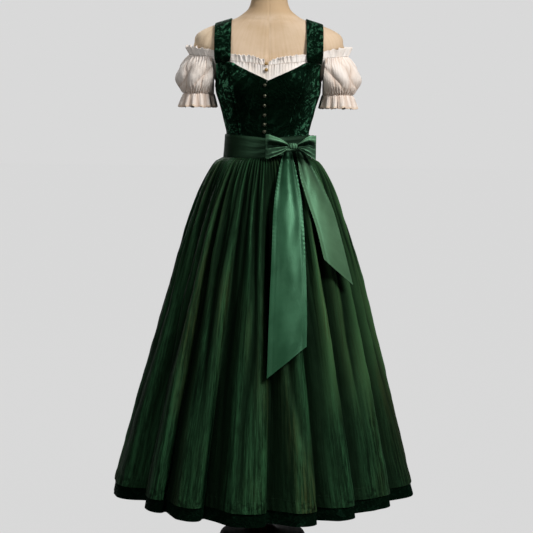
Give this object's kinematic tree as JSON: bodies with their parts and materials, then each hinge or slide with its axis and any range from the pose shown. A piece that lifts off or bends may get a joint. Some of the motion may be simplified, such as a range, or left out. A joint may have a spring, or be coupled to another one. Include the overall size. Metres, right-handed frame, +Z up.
{
  "type": "dirndl dress on a limbless dress form",
  "caption": "Long velvet dirndl with taffeta apron, off-shoulder puff-sleeved blouse and side-tied satin bow with hanging tails, set on a limbless dress form with a turned stand.",
  "frame": {"origin": "centre of the stand base's underside, on the floor", "axes": "+Z up, front of the dress towards -Y, +X to the right as seen from the front"},
  "size_m": [0.8363, 0.8274, 1.566],
  "materials": {
    "velvet": "crushed velvet",
    "taffeta": "shot taffeta, soft sheen",
    "satin": "satin",
    "cotton": "matte crinkled cotton",
    "linen": "matte linen",
    "wood": "dark satin varnish",
    "aged_metal": "antique",
    "brass": "worn"
  },
  "bodies": {
    "root": {"apron": "taffeta", "blouse_back": "cotton", "blouse_button_1": "brass", "blouse_button_2": "brass", "blouse_front_left": "cotton", "blouse_front_right": "cotton", "bodice_back": "velvet", "bodice_button_1": "aged_metal", "bodice_button_2": "aged_metal", "bodice_button_3": "aged_metal", "bodice_button_4": "aged_metal", "bodice_button_5": "aged_metal", "bodice_button_6": "aged_metal", "bodice_front_left": "velvet", "bodice_front_right": "velvet", "bodice_side_left": "velvet", "bodice_side_right": "velvet", "bow_knot": "satin", "bow_loop_left": "satin", "bow_loop_right": "satin", "cuff_ruffle_left": "cotton", "cuff_ruffle_right": "cotton", "form_body": "linen", "neckline_ruffle": "cotton", "sash_back": "satin", "sash_front": "satin", "skirt_back": "velvet", "skirt_front": "velvet", "sleeve_left": "cotton", "sleeve_right": "cotton", "stand_base": "wood", "stand_pole": "wood", "strap_left": "velvet", "strap_right": "velvet", "tail_long": "satin", "tail_short": "satin"}
  },
  "joints": []
}
